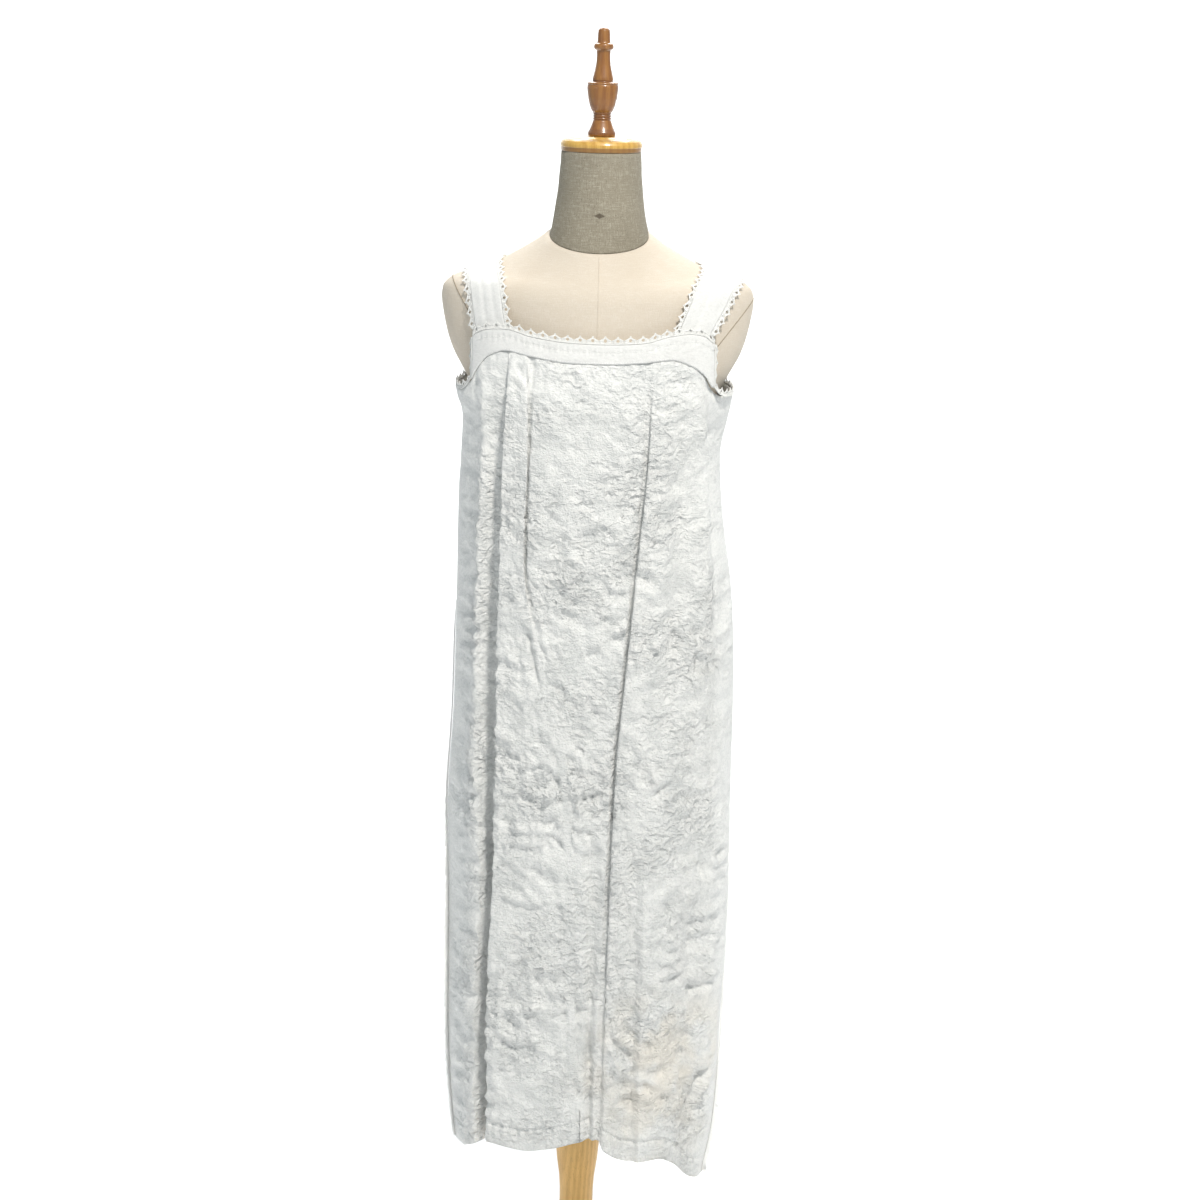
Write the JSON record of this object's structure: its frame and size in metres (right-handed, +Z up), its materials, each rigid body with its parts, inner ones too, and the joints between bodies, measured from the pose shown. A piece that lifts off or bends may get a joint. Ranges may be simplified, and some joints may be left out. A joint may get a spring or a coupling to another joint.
{
  "type": "sundress on a limbless dress form with a wooden stand",
  "caption": "Sleeveless square-necked linen sundress with crocheted edging, hanging on a limbless dress form with a turned wooden cap, post and round base.",
  "frame": {"origin": "on the floor, under the middle of the round base", "axes": "+Z up along the stand's post, -Y out of the dress's front, +X towards the right of someone who looks at the front"},
  "size_m": [0.4, 0.4, 1.6875],
  "materials": {
    "dress_linen": "matt white linen, plain weave, washed and crumpled",
    "crochet_lace": "matt white crochet cotton",
    "fringe_thread": "matt white overcast thread",
    "form_cover": "cream linen stretched over the form",
    "neck_cover": "grey-beige coarse linen",
    "varnished_wood": "glossy golden varnish on turned wood",
    "oak": "satin pale oak"
  },
  "bodies": {
    "root": {"front_panel": "dress_linen", "back_panel": "dress_linen", "front_band": "dress_linen", "back_band": "dress_linen", "strap_left": "dress_linen", "strap_right": "dress_linen", "lace_neck_front": "crochet_lace", "lace_neck_back": "crochet_lace", "lace_strap_left_outer": "crochet_lace", "lace_strap_left_inner": "crochet_lace", "lace_strap_right_outer": "crochet_lace", "lace_strap_right_inner": "crochet_lace", "lace_armhole_left": "crochet_lace", "lace_armhole_right": "crochet_lace", "fringe_left": "fringe_thread", "fringe_right": "fringe_thread", "form_torso": "form_cover", "form_neck": "neck_cover", "neck_cap": "varnished_wood", "finial": "varnished_wood", "stand_post": "oak", "stand_base": "oak"}
  },
  "joints": []
}
